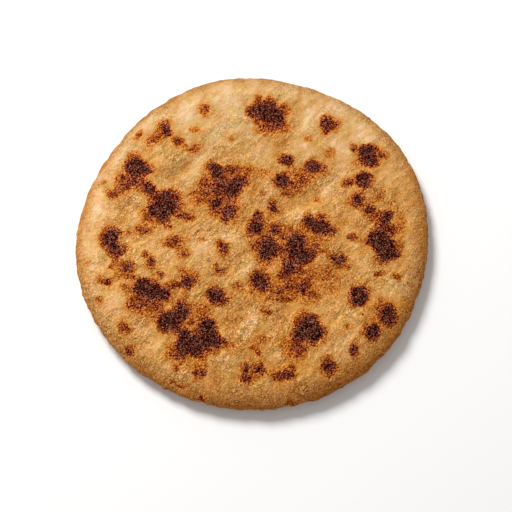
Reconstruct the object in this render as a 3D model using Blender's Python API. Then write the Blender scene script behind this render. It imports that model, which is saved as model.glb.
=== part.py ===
"""A rotla: a thick, round griddle bread of millet flour, patted out by hand.

It is one solid, whole and uncut. Lengths are in metres and +Z is up. The bread lies on its
flat underside, and the origin is the middle of that underside.
"""

import math
from collections import namedtuple

import bmesh
import bpy
from mathutils import Vector, noise

MM = 0.001

# Driving dimensions.
MEAN_RADIUS = 88.9 * MM
WIDEST_HEIGHT = 6.0 * MM  # above the underside, where the rim stands out furthest
DOME_HEIGHT = 8.0 * MM  # from the widest line up to the middle of the crust
DOME_FLATNESS = 7  # higher gives a flatter crust and a quicker fall to the rim
UNDERSIDE_SHARE = 0.94  # of the radius that lies flat on the griddle

# The hand-patted outline is a circle with slow lobes: how many, how high, and which way
# the first one points, in degrees from +X.
Lobes = namedtuple("Lobes", "count height turn")
OUTLINE = (
    Lobes(2, 1.2 * MM, 21),
    Lobes(3, 0.25 * MM, -40),
    Lobes(4, 0.75 * MM, 22),
    Lobes(5, 0.35 * MM, 35),
)

# The crust swells and sinks gently, in waves drawn out along the way the dough was patted.
PATTED_TURN = math.radians(48)
SLOW_WAVE = 0.7 * MM
SLOW_LENGTH = 38 * MM
SLOW_WIDTH = 22 * MM
QUICK_WAVE = 0.35 * MM
QUICK_LENGTH = 16 * MM
QUICK_WIDTH = 10 * MM
RIM_WAVE = 0.35 * MM
RIM_LENGTH = 9 * MM
CALM_SHARE = 0.80  # of the radius, where the waves start to die away towards the rim
WAVE_SEED = 11.3
QUICK_SEED = 47.9
RIM_SEED = 83.1

# Finger hollows, each a shallow trough from one point to another, in millimetres from the middle.
Hollow = namedtuple("Hollow", "start end width depth")
HOLLOWS = (
    Hollow((-42, 30), (-33, 36), 5.0, 0.8),
    Hollow((-33, 36), (-19, 51), 4.0, 0.7),
    Hollow((16, 15), (29, 18), 4.5, 0.8),
    Hollow((29, 18), (46, 35), 4.5, 0.8),
    Hollow((-14, -19), (-1, -10), 4.0, 0.6),
    Hollow((-14, -46), (0, -36), 5.0, 0.8),
    Hollow((8, -48), (19, -38), 4.5, 0.7),
    Hollow((40, -29), (39, -38), 4.0, 0.6),
    Hollow((43, -54), (50, -47), 3.5, 0.5),
    Hollow((-33, 59), (-24, 61), 4.0, 0.6),
    Hollow((22, 66), (25, 61), 3.5, 0.5),
    Hollow((-16, 47), (1, 49), 5.5, 0.6),
    Hollow((-69, 15), (-63, 14), 4.0, 0.5),
    Hollow((-27, -13), (-26, -12), 4.5, 0.6),
)

# The mesh: cells across each face of the block that is shaped into the bread, and up its rim.
COLUMNS = 44
RIM_ROWS = 6
SHOULDER_TURN = math.radians(48)  # of the rim's arc that the rim rows cover above the widest line

CRUST_COLOUR = (0.60, 0.29, 0.09, 1)  # baked millet dough, in linear RGB
CRUST_ROUGHNESS = 0.75


def clear_scene():
    for obj in list(bpy.data.objects):
        bpy.data.objects.remove(obj, do_unlink=True)


def smooth_step(low, high, value):
    share = min(1, max(0, (value - low) / (high - low)))
    return share * share * (3 - 2 * share)


def outline_radius(angle):
    """The radius at the widest line, seen from above."""
    lobes = sum(
        lobe.height * math.cos(lobe.count * (angle - math.radians(lobe.turn))) for lobe in OUTLINE
    )
    return MEAN_RADIUS + lobes


def crust_height(share):
    """The height of the smooth dome at a share of the way from the middle to the widest line."""
    return WIDEST_HEIGHT + DOME_HEIGHT * math.sqrt(max(0, 1 - share**DOME_FLATNESS))


def depth_in(hollow, x, y):
    """How deep a hollow is at a point: most along its own line, fading as a bell curve beside it."""
    start = Vector(hollow.start) * MM
    run = Vector(hollow.end) * MM - start
    along = (Vector((x, y)) - start).dot(run) / run.length_squared
    nearest = start + run * min(1, max(0, along))
    distance = (Vector((x, y)) - nearest).length / (hollow.width * MM)
    return hollow.depth * MM * math.exp(-distance * distance)


def crust_relief(x, y):
    """How far the crust stands above its smooth dome, or below it where this is negative."""
    along = x * math.cos(PATTED_TURN) + y * math.sin(PATTED_TURN)
    across = y * math.cos(PATTED_TURN) - x * math.sin(PATTED_TURN)
    slow = noise.noise(Vector((along / SLOW_LENGTH, across / SLOW_WIDTH, WAVE_SEED)))
    quick = noise.noise(Vector((along / QUICK_LENGTH, across / QUICK_WIDTH, QUICK_SEED)))
    pressed = sum(depth_in(hollow, x, y) for hollow in HOLLOWS)
    return SLOW_WAVE * slow + QUICK_WAVE * quick - pressed


def rim_relief(angle, height):
    """How far the rim stands out or in at an angle and a height."""
    around = Vector((math.cos(angle), math.sin(angle), 0)) * MEAN_RADIUS / RIM_LENGTH
    return RIM_WAVE * noise.noise(around + Vector((0, 0, RIM_SEED + height / RIM_LENGTH)))


def block():
    """A box from -1 to 1 each way, cut into cells: COLUMNS across and RIM_ROWS up."""
    mesh = bmesh.new()
    bmesh.ops.create_cube(mesh, size=2)
    for axis, cells in ((0, COLUMNS), (1, COLUMNS), (2, RIM_ROWS)):
        lying = [e for e in mesh.edges if abs(e.verts[0].co[axis] - e.verts[1].co[axis]) > 1]
        bmesh.ops.subdivide_edges(mesh, edges=lying, cuts=cells - 1, use_grid_fill=True)
    return mesh


def disc_place(u, v):
    """A point of the square from -1 to 1, as an angle and a share of the radius on a disc.

    Each square ring becomes a round one, evenly spaced.
    """
    quarter = math.pi / 4
    if abs(u) >= abs(v):
        angle = quarter * v / u if u else 0
        return (angle if u >= 0 else angle + math.pi), abs(u)
    angle = math.pi / 2 - quarter * u / v
    return (angle if v >= 0 else angle + math.pi), abs(v)


def bread_place(u, v, w):
    """A point of the block, moved onto the bread."""
    angle, ring = disc_place(u, v)
    rim = outline_radius(angle)
    top_share = math.cos(SHOULDER_TURN) ** (2 / DOME_FLATNESS)
    if ring < 1 and w < 0:
        share, height = ring * UNDERSIDE_SHARE, 0
    elif ring < 1:
        share = ring * top_share
        height = crust_height(share)
    elif w < 0:
        turn = w * math.pi / 2
        share = UNDERSIDE_SHARE + (1 - UNDERSIDE_SHARE) * math.cos(turn)
        height = WIDEST_HEIGHT * (1 + math.sin(turn))
    else:
        share = math.cos(w * SHOULDER_TURN) ** (2 / DOME_FLATNESS)
        height = crust_height(share)
    radius = rim * share
    if height > 0:
        radius += rim_relief(angle, height) * smooth_step(CALM_SHARE, 1, share)
    x, y = radius * math.cos(angle), radius * math.sin(angle)
    if height > WIDEST_HEIGHT:
        height += crust_relief(x, y) * (1 - smooth_step(CALM_SHARE, 1, share))
    return Vector((x, y, height))


def centre_over_origin(mesh):
    """Slides the bread so that its box, seen from above, is centred on the origin."""
    for axis in (0, 1):
        places = [v.co[axis] for v in mesh.verts]
        middle = (min(places) + max(places)) / 2
        for v in mesh.verts:
            v.co[axis] -= middle


def crust_material():
    material = bpy.data.materials.new("baked_crust")
    material.use_nodes = True
    shader = material.node_tree.nodes["Principled BSDF"]
    shader.inputs["Base Color"].default_value = CRUST_COLOUR
    shader.inputs["Roughness"].default_value = CRUST_ROUGHNESS
    shader.inputs["Metallic"].default_value = 0
    return material


def build_rotla(collection):
    mesh = block()
    for vertex in mesh.verts:
        vertex.co = bread_place(*vertex.co)
    centre_over_origin(mesh)
    bmesh.ops.recalc_face_normals(mesh, faces=mesh.faces)
    data = bpy.data.meshes.new("rotla")
    mesh.to_mesh(data)
    mesh.free()
    data.shade_smooth()
    data.materials.append(crust_material())
    collection.objects.link(bpy.data.objects.new("rotla", data))


def main():
    clear_scene()
    collection = bpy.data.collections.new("rotla_bread")
    bpy.context.scene.collection.children.link(collection)
    build_rotla(collection)


main()
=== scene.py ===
"""The looks of the rotla: its crust at full detail, a pale floor, soft light and a camera.

The crust keeps the form of the solid that it replaces, and adds lumps, wrinkles, creases,
pores, blisters on the scorch marks, and a folded, ragged rim, all too fine for that solid.
Lengths are in millimetres until a mesh, a texture, a light or the camera is made, and then
they are multiplied by MM. +Z is up, +X is to the right and +Y is away from the camera.
"""

import math
import random
from collections import namedtuple

import bpy
import numpy as np
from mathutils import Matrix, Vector, noise


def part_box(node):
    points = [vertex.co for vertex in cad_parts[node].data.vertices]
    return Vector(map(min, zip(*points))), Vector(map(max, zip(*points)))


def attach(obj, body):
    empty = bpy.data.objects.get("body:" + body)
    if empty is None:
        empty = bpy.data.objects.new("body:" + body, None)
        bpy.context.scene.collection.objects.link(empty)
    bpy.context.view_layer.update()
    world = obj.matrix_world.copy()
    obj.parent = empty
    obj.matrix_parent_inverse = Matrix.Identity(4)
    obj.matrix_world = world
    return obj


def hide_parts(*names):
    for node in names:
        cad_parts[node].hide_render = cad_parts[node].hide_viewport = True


MM = 0.001

# The form of the solid.
MEAN_RADIUS = 88.9
WIDEST_HEIGHT = 6  # above the underside, where the rim stands out furthest
DOME_HEIGHT = 8  # from the widest line up to the middle of the crust
THICKNESS = WIDEST_HEIGHT + DOME_HEIGHT
DOME_FLATNESS = 7  # higher gives a flatter crust and a quicker fall to the rim
UNDERSIDE_SHARE = 0.94  # of the radius that lies flat
SHOULDER_TURN = math.radians(48)  # of the rim's arc that its rows cover above the widest line
CALM_SHARE = 0.8  # of the radius, where the waves start to die away towards the rim

# The outline is a circle with slow lobes: how many, how high, and the first one's direction.
Lobes = namedtuple("Lobes", "count height turn")
OUTLINE = (Lobes(2, 1.2, 21), Lobes(3, 0.25, -40), Lobes(4, 0.75, 22), Lobes(5, 0.35, 35))

# Layers of waves: how high, long and wide each wave is, and the layer's seed. Most of them are
# relief, drawn out along the way the dough was patted.
Layer = namedtuple("Layer", "height length width seed")
PATTED_TURN = math.radians(48)
SLOW = Layer(0.7, 38, 22, 11.3)
QUICK = Layer(0.35, 16, 10, 47.9)
LUMPS = Layer(0.26, 5.5, 4.2, 5.1)
WRINKLES = Layer(0.3, 8, 2.8, 23.7)
GRAIN = Layer(0.12, 2.2, 1.8, 61.3)
CRUMPLES = Layer(0.55, 3.4, 2.1, 14.9)
CREASES = Layer(1, 15, 8, 53.1)
CREASE_BREAKS = Layer(1, 9, 9, 33.3)
RIM_CREASES = Layer(1, 13, 3.2, 44.7)
RIM_WAVE = Layer(0.35, 9, 9, 83.1)
RIM_RAGS = Layer(0.45, 4, 3, 29.5)
RIM_FOLDS = Layer(0.3, 16, 1.7, 71.9)

# Creases run where their waves cross zero, and are broken in places.
CREASE_WIDTH = 0.1  # as a share of the waves' height
CREASE_DEPTH = 0.32
# CREASE_SHADE is how much painted shade a crease adds to the dough's colour.
CREASE_SHADE = 0.6
CREASE_BREAK = (-0.1, 0.3)  # the heights of CREASE_BREAKS between which a crease comes in

FOLDED_SHARE = (0.86, 0.95)  # of the radius, between which crust turns into folded rim
RIM_CLIMB = 0.6  # how much a step up counts in the rim's folds, against a step outwards

# Finger hollows, each a shallow trough from one point to another.
Hollow = namedtuple("Hollow", "start end width depth")
HOLLOWS = (
    Hollow((-42, 30), (-33, 36), 5, 0.8), Hollow((-33, 36), (-19, 51), 4, 0.7),
    Hollow((16, 15), (29, 18), 4.5, 0.8), Hollow((29, 18), (46, 35), 4.5, 0.8),
    Hollow((-14, -19), (-1, -10), 4, 0.6), Hollow((-14, -46), (0, -36), 5, 0.8),
    Hollow((8, -48), (19, -38), 4.5, 0.7), Hollow((40, -29), (39, -38), 4, 0.6),
    Hollow((43, -54), (50, -47), 3.5, 0.5), Hollow((-33, 59), (-24, 61), 4, 0.6),
    Hollow((22, 66), (25, 61), 3.5, 0.5), Hollow((-16, 47), (1, 49), 5.5, 0.6),
    Hollow((-69, 15), (-63, 14), 4, 0.5), Hollow((-27, -13), (-26, -12), 4.5, 0.6),
)

# Marks and patches are ellipses: the middle, half the length, half the width, how strong it is,
# and its turn in degrees from +X, where it has one.
Mark = namedtuple("Mark", "x y long wide strength turn", defaults=(0,))


def as_marks(*rows):
    return tuple(Mark(*row) for row in rows)


# Scorch marks. Their strength goes from 0.2, golden, through 0.5, brown, to 1, charred.
CRUST_MARKS = as_marks(
    # The largest mark, near the back edge, with a fringe of streaks.
    (6.5, 66.8, 6.6, 4.8, 1, -12), (12.2, 63.8, 4.3, 4.2, 1), (7.6, 62.6, 4.2, 2.3, 0.95, -10),
    (0.4, 66.6, 3.2, 3.2, 0.86), (9.2, 70.8, 3.2, 1.5, 0.9, -15), (12.4, 58.8, 2.6, 2.2, 0.82),
    (1.8, 62, 1.8, 1.4, 0.72, 40), (3.1, 74.1, 1.5, 1.1, 0.55, 90), (16.6, 66.2, 1.4, 1.2, 0.7),
    (16, 69.4, 1.8, 1.6, 0.5), (4.6, 56.8, 3, 0.8, 0.4, 50), (7.8, 55.6, 3.4, 0.8, 0.44, 52),
    (10.6, 55.2, 2.8, 0.8, 0.42, 50), (15.6, 56, 2, 1.4, 0.4),
    # Small marks on either side of it.
    (-25, 68.4, 2.6, 2.2, 0.52, 90), (-11.4, 51.3, 1.6, 1.4, 0.3), (38.1, 59.8, 3.8, 3.5, 0.8, 90),
    (41.6, 59.8, 2.2, 1.4, 0.8), (37.6, 56.6, 2.6, 2.2, 0.72), (28.3, 51.3, 3.2, 1.8, 0.24, -30),
    # The ring round a bubble that rose and burst.
    (37.4, 42.6, 1.9, 0.7, 0.24, 60), (39.9, 44.4, 1.7, 0.6, 0.2, -15),
    (41.8, 42.2, 1.9, 0.7, 0.24, 100), (39.6, 40.6, 1.6, 1, 0.36, 10),
    # Small marks at the back left.
    (-45.3, 56.6, 3.7, 2.6, 0.92, 118), (-39.2, 50.6, 2.6, 1.4, 0.8, -30),
    (-35.2, 47.8, 2.2, 1.1, 0.38, -25), (-52, 51.4, 2.8, 1.5, 0.46, 10),
    (-48.4, 52.8, 1.5, 1.3, 0.46), (-49.6, 55.6, 2.2, 2, 0.42), (-59.8, 55, 3.2, 1.3, 0.48, 52),
    (-30.3, 56.5, 3, 2, 0.25, 10), (-31.2, 46, 3, 2.1, 0.5, 30),
    # A large mark by the left edge, with a paler tail.
    (-60.4, 36.2, 5.4, 5, 1), (-55.4, 34.8, 3.4, 2.4, 0.95, -30), (-59.8, 40.6, 2.2, 1.8, 0.9),
    (-62, 29.2, 4, 3, 0.7), (-66.2, 31.2, 3, 2.4, 0.52, 70), (-64.6, 25.6, 2.4, 1.8, 0.48),
    (-57.2, 27, 1.6, 1.2, 0.62, 60), (-53.4, 24, 3.2, 2.8, 0.92, -10), (-71.6, 22, 2.4, 1.8, 0.58),
    (-69.2, 24.2, 3, 1.8, 0.5, 35), (-66, 26.8, 2.4, 1.4, 0.5, 35), (-77.6, 28.4, 3, 1, 0.28, 55),
    # A large mark like a leaning diamond.
    (-44.8, 15.6, 7.2, 4.6, 1, 76), (-48.4, 13.2, 5, 3.8, 1, 20), (-45.4, 10.4, 3.4, 3.2, 1),
    (-42.6, 14.6, 3.6, 2.9, 1, 90), (-48.2, 16.8, 3.6, 2.4, 1, 50), (-43.2, 21.8, 2, 2, 1),
    (-51.8, 13.4, 2.4, 2.2, 0.9, 40), (-52.6, 8.6, 2.6, 2, 0.42, -20), (-36.2, 16, 1.2, 1, 0.5),
    (-34.2, 9.4, 3.8, 1.8, 0.58, -5), (-30.7, 22.3, 2.4, 1.6, 0.42, 30), (-42.2, 3.8, 1.8, 1, 0.45),
    # A round mark by the left edge, with a tail.
    (-71.9, -1.8, 4.7, 4.3, 1, 60), (-69.2, -6.6, 3, 2.4, 1, -60), (-68.7, -9.8, 2, 1.5, 0.8, 90),
    (-70, -13.8, 1.8, 1.3, 0.42, 70), (-66.9, 0.4, 2.2, 1, 0.42, 90), (-65.8, -7.5, 1.6, 1.2, 0.45),
    (-71.6, -16.6, 1.6, 1.4, 0.38), (-55.2, 2, 3.4, 1.4, 0.58, -6), (-61.8, 0.8, 1.6, 0.8, 0.33),
    (-39.4, -3.2, 2.8, 2, 0.58, 10), (-40.4, -4.2, 5, 3.4, 0.42), (-34.8, -10.6, 2.1, 1.6, 0.58),
    (-54.8, -10.8, 1.8, 1.6, 0.36), (-51.2, -14.4, 1.9, 1.6, 0.85, 100),
    (-46.1, -21.3, 1.6, 1.4, 0.62, 60), (-63.3, -17.4, 3, 2.8, 0.7),
    (-61.6, -22, 2.6, 1.3, 0.48, -20), (-74.2, -24.5, 2.8, 1.9, 0.68, -15),
    (-84, -14.2, 1.6, 1.4, 0.26), (-77.3, -33.8, 1.8, 0.8, 0.52, -60),
    # A cluster left of the middle: a heart, a leaning bar and two round marks.
    (-20.6, 36.3, 2.6, 2, 1), (-18, 34.4, 3.6, 2.8, 1, -35), (-19.2, 32.2, 2.2, 2.2, 0.9),
    (-17.6, 28.2, 4.2, 3, 0.84, 90), (-17.6, 22.8, 3.2, 2.6, 0.8), (-9.8, 25.6, 6.4, 4, 1, 52),
    (-12.2, 22.8, 3.2, 3, 1), (-7.2, 28.6, 3, 2.6, 1), (-18.9, 16.2, 3, 3, 0.96),
    (-12.7, 12.2, 3.8, 3.4, 0.86), (-14.6, 8.4, 2, 1.8, 0.72, 90),
    (-14.4, 18.4, 3.4, 2.2, 0.62, -40), (-16, 13.4, 1.8, 1.4, 0.6), (-24.8, 26.4, 5, 3.2, 0.42, 90),
    (-27.4, 18.6, 2.6, 1.6, 0.4), (-24.5, 21.5, 4, 2, 0.5, 20), (-10.7, 34.4, 4.8, 2.6, 0.5, -10),
    (-2.7, 34, 3.2, 1.7, 0.42, 60), (17.3, 39.8, 3.5, 2.2, 0.95), (31, 36.2, 4.3, 3.3, 0.94),
    (14.8, 28.8, 3.7, 3.2, 1, -10), (19.2, 27, 2.9, 1.8, 0.64, -35), (22, 24.6, 2, 1.4, 0.5, -40),
    (24.4, 29.2, 3.4, 2.4, 0.36, -20), (17.4, 22, 3.2, 2.4, 0.4, 20), (4.2, 22, 1.4, 0.9, 0.4, 20),
    (9.9, 14.3, 2.9, 1.9, 0.95, 112),
    # The cluster at the middle.
    (1.6, 3.8, 4.2, 3.7, 1, 90), (2.3, 8.6, 2.6, 2, 0.95, 90), (10.8, 2.2, 2.8, 2.4, 0.88, 90),
    (7.2, -1.2, 1.8, 1.2, 0.7), (7.9, -7, 5.4, 4.2, 1, 90), (5.8, -9.8, 2.8, 2.8, 1),
    (14.2, -5.8, 3, 0.9, 0.95, 8), (21.6, -4.4, 4.8, 4.6, 1), (18.4, -1.4, 2.8, 1.8, 0.74),
    (14.6, -1.4, 2.6, 2.4, 0.5), (15.4, -8.2, 2.4, 2.2, 0.7), (15.6, -12.8, 2.6, 1.6, 0.58, 90),
    (21.2, -9.6, 3.4, 3, 1), (24.6, -11.6, 4.6, 3.6, 1, -15), (29, -11.2, 2.9, 1.7, 0.8, 60),
    (31.2, -6.8, 2.5, 1.1, 0.75, 55), (17.8, -17.6, 4.1, 2.7, 0.97, 78),
    (3.4, -24.8, 4.9, 3.5, 1, -62), (-15.1, -7.8, 3, 2.1, 0.78, -60),
    (-18.5, -15.9, 1.3, 1, 0.45, 60), (-16.6, -19.1, 1.9, 1.3, 0.62, -20),
    (0.4, -6.4, 3.2, 1.8, 0.4, 75), (-25.7, -2.8, 2, 1.2, 0.28), (-7, -27.6, 2.4, 1.8, 0.3),
    (12.8, -29.9, 2.3, 1.5, 0.64, 10), (17.2, -27.2, 2, 1.6, 0.6, 60),
    (25, -27.4, 3.8, 2.8, 0.7, 35), (28.7, -22.8, 2.8, 0.9, 0.5, 48),
    (29.4, -31, 2.9, 1.9, 0.6, -20), (5.3, -30, 2.2, 0.7, 0.45, -10), (9.6, -32.6, 1.8, 0.8, 0.42),
    (17.6, -33.2, 3.2, 0.9, 0.42, 5), (14.2, -21.4, 3.4, 2.6, 0.52, -60),
    (23.4, -19.4, 4, 2.4, 0.42, -20), (28.6, -19, 2.6, 1.4, 0.36, 40),
    # Right of the middle, and along the right edge.
    (29.2, 6.4, 3.2, 2.4, 0.97), (34, 4, 5.2, 3.6, 1, -22), (40.1, 1.9, 1.7, 1.4, 0.82, -20),
    (34, 9.2, 2.6, 1.6, 0.74), (58.7, 43.8, 4.8, 4.6, 1, 60), (60.2, 39.5, 3, 2.8, 1),
    (66.2, 42.8, 1.9, 1.1, 0.7), (52.2, 45.7, 1.6, 1, 0.66, 20), (56.3, 29.8, 4.3, 3.4, 1, 90),
    (48.3, 26.9, 2.2, 1.2, 0.78, 25), (52.9, 18.1, 3, 2.6, 0.95, 60),
    (58.8, 12.8, 2.4, 1.8, 0.92, 5), (67.8, 9.6, 3.1, 3, 0.97), (66.2, 6.2, 3, 2.7, 0.92, 90),
    (65, 1.6, 3.2, 2.4, 0.9), (62.8, 5.8, 2.6, 1.4, 0.52, 80), (69.8, 0.8, 2.2, 1.5, 0.92, 90),
    # A large mark by the right edge.
    (63, -2.2, 5.4, 4.8, 1), (65.6, -6.2, 5.6, 5, 1, -40), (67.2, -10.4, 4.6, 3.9, 1),
    (68.9, -4.4, 2.6, 2.2, 1, 90), (72.2, -10.2, 1.9, 1.1, 0.95), (32.3, 18.4, 2.2, 1.6, 0.33),
    (49.7, -1.5, 1.4, 1.1, 0.7), (43.2, -13.3, 2.5, 2, 0.95), (41, -12.6, 1.9, 1.2, 0.85, 15),
    (47.6, -16.5, 0.9, 0.8, 0.6), (62.4, -20.4, 2.2, 1.1, 0.52, 10), (71.7, -22, 1.5, 1.1, 0.48),
    (65, 21.2, 2.8, 1.1, 0.5, 38), (63, 19.2, 1.8, 0.9, 0.4, 20), (71.4, 17, 2, 0.9, 0.32, 40),
    # Three large marks at the front left.
    (-55, -27.6, 4.4, 4.2, 1, 90), (-50.2, -30.2, 5, 4.5, 1), (-45.4, -31.2, 3.8, 3.5, 1, -10),
    (-55.4, -36, 4.6, 1.8, 0.56), (-48.6, -36.6, 4.2, 1.8, 0.56), (-60.6, -36.6, 2.6, 2, 0.42),
    (-59.4, -33, 1.8, 1.8, 0.5), (-62.6, -27.2, 3.4, 1.5, 0.46, -15),
    (-33, -24.6, 3.1, 2.5, 0.9, 5), (-37.4, -26, 2.1, 1.3, 0.64, 10), (-36, -18.8, 1.5, 1.1, 0.45),
    (-40.6, -27.3, 3, 1.4, 0.5, 10), (-41.2, -44.6, 6, 5, 1), (-35.4, -41.4, 4, 3.5, 1, 45),
    (-35.6, -37.6, 2.4, 2.3, 0.86, 90), (-30.6, -45, 2.8, 2.4, 0.46, 90),
    (-22.6, -48.4, 5.8, 3.9, 1, 95), (-22, -54.6, 6, 4.6, 1), (-29.2, -56.4, 5.6, 5.2, 1),
    (-34, -55.8, 5.4, 3.8, 1, 90), (-33.8, -51.2, 3.2, 2.4, 1), (-18.2, -54.8, 3, 2.1, 1),
    (-22.8, -58.6, 3.4, 1.6, 0.9), (-30, -60.2, 3.2, 1.6, 0.95), (-34.2, -60.4, 3, 2, 0.92, 10),
    (-36.8, -62.2, 3.4, 1.8, 0.6, -10),
    # Small marks round them and along the front edge.
    (-63.9, -47.3, 3, 1.9, 0.68, -40), (-60.8, -59, 3.3, 1.4, 0.74, -38),
    (-40.4, -61.8, 2.2, 1.4, 0.34, -20), (-39.4, -75, 1.5, 0.7, 0.5),
    (-35.5, -76.8, 3.6, 0.9, 0.46, -14), (-38, -68, 0.8, 0.7, 0.55), (-18.4, -31.6, 4, 3.3, 1, -20),
    (-15.6, -34.6, 2.1, 1.7, 0.9, 60), (-25.8, -70.4, 3.3, 1.4, 0.76, 5),
    (7.3, -40, 2.6, 1.8, 0.38), (1.9, -60.2, 3.2, 1.6, 0.42, -40), (4.6, -53.4, 2.6, 2, 0.32, -30),
    (-3.7, -68.6, 2.5, 1.8, 0.72, 90), (-2.9, -73, 2.1, 2.1, 0.76), (2.6, -68.7, 2.5, 1.6, 0.88),
    (-0.6, -67.4, 1.8, 0.9, 0.6), (15.2, -72.2, 4.3, 1.8, 0.88, 4),
    (18.8, -68.8, 1.8, 0.9, 0.5, 20), (-24.7, -83, 1.4, 0.9, 0.6, -20),
    (19, -84.6, 4.2, 1.1, 0.44, 10),
    # Round marks at the front right.
    (27.2, -48.1, 6.3, 5.6, 1, 90), (30.5, -50.8, 4.5, 4.1, 1), (23.2, -51, 4.2, 3.4, 1, 30),
    (22.6, -57.8, 4.2, 2.8, 0.52, -30), (22.4, -61.6, 2.8, 2.2, 0.5, 60),
    (52.3, -32, 5, 4.5, 1, 90), (66.8, -41.4, 5, 3.6, 0.97, 88), (58.9, -49.6, 4, 3.2, 0.96, 100),
    (49.8, -59.2, 2.2, 2, 0.88, 90), (37, -67.1, 2.8, 2.4, 0.97), (36.6, -70.6, 1.4, 0.9, 0.85, 90),
    (63.7, -34.3, 1.1, 0.8, 0.48), (61.6, -38.2, 1.2, 0.7, 0.4, 60),
    (47.3, -47.7, 1.2, 0.7, 0.4, 30), (53.6, -40.7, 1.2, 0.8, 0.4), (43.7, -50.3, 1, 0.7, 0.35),
)

# A scorch mark is at its full strength from FULL_DEPTH inside its edge, and each FADE further
# out makes it weaker by a factor of e. Waves vary the fading and make the edge ragged.
FULL_DEPTH = 0.98
FADE = 1.8
FADE_WAVE = Layer(1, 6, 6, 17.9)
LEAST_FADE = 0.4  # as a share of FADE
EDGE_RAGS = (Layer(0.7, 3.2, 3.2, 7.7), Layer(0.8, 1.4, 1.4, 37.1))
HALO_SHARE = 0.5  # of each mark's heat, which adds up with its neighbours'
CHARRED = (0.6, 1)  # the heats between which dough turns into char
BLISTER_HEIGHT = 0.14
UNSCORCHED_RIM = (2, 7)  # the heights between which the scorching fades out down the rim

# Toasted patches round the marks, and how toasted they are. Patches fade out as bell curves.
TOASTED = as_marks(
    (-62, 31, 9, 7, 0.8, 60), (-66, 25, 7, 5, 0.9, 45), (-70, 31, 4, 5, 0.4),
    (-51, 51, 7, 4.5, 0.7, 15), (-36, 48, 7, 4, 0.35, -25), (-55, 45, 5, 4, 0.5),
    (-50, 9, 9, 7, 0.8, 30), (-56, 12, 4, 4, 0.6), (-34, 10, 7, 4, 0.7), (-46, 5, 7, 4, 0.5),
    (-35, 16, 6, 6, 0.5), (-22, 24, 10, 9, 0.9), (-27, 18, 5, 4, 0.6), (-8, 8, 4, 4, 0.5),
    (-8, 33, 10, 5, 0.75), (18, 24, 8, 7, 0.85), (25, 28, 7, 5, 0.8), (22, 33, 8, 5, 0.9, -15),
    (32, 32, 7, 3.5, 0.7), (4, 33, 6, 4, 0.75), (8, 3, 10, 9, 0.65, 90), (8, -8, 10, 9, 0.8),
    (22, -8, 11, 10, 0.8), (20, -25, 14, 8, 0.9, 10), (14, -33, 14, 4, 0.9), (-8, -26, 5, 4, 0.7),
    (1, -6, 3.5, 5, 0.6), (5, -16, 7, 4, 0.55), (20, 4, 6, 4, 0.5), (30, 5, 8, 7, 0.7),
    (33, -3, 9, 4, 0.8), (51, 20, 5, 6, 0.55), (48, 16, 4, 3.5, 0.5), (63, 20, 7, 6, 0.65),
    (75, 6, 9, 4, 0.75, 90), (66, -4, 9, 9, 0.5), (-63, -21, 7, 5, 0.6, -45), (-73, -26, 4, 3, 0.5),
    (-65, -28, 5, 3, 0.5, -15), (-56, -36, 11, 6, 0.95), (-49, -43, 9, 5, 0.8, -40),
    (-35, -47, 5, 4, 0.9), (-33, -20, 6, 3, 0.5), (-40, -27, 9, 5, 0.8, 10),
    (-36, -34, 8, 4, 0.6, 20), (-30, -22, 6, 5, 0.65), (-70, -8, 7, 4, 0.3, 90),
    (-56, 3, 7, 4, 0.45), (-38, -5, 7, 6, 0.5), (-25, -39, 8, 6, 0.95, 20), (-11, -32, 4, 3, 0.7),
    (1, -29, 5, 3, 0.8), (-39, -61, 6, 6, 0.8), (-27, -67, 10, 4, 0.65), (-10, -57, 8, 4, 0.65, 10),
    (2, -56, 6, 7, 0.7), (19, -59, 8, 8, 0.95, 45), (61, -39, 9, 6, 0.55, -30),
    (61, -45, 4, 4, 0.7), (14.5, -54, 4, 6, 0.35), (58, -51, 6, 6, 0.3), (51, -58, 5, 5, 0.4),
    (-3, -72, 7, 6, 0.75), (13, -70, 10, 5, 0.75), (37, -21, 9, 8, 0.9), (40, -29, 8, 6, 0.55),
    (29, -34, 6, 4, 0.75), (38, -66, 5, 5, 0.3), (28, 51, 5, 3, 0.45), (39.7, 42, 3, 2.6, 0.3),
    (15, 58, 8, 6, 0.6), (5, 74, 7, 3, 0.25), (-25, 68, 4.5, 4, 0.5), (60, 43, 8, 7, 0.45),
    (57, 30, 7, 6, 0.45), (37, 56, 5, 5, 0.5), (7, -39, 5, 4, 0.5), (46, -14, 6, 4, 0.35),
)
TOAST_SHARE = 0.33  # of full heat, in the most toasted patch
PATCH_FALL = 1.4  # higher makes a patch fade out sooner

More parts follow.
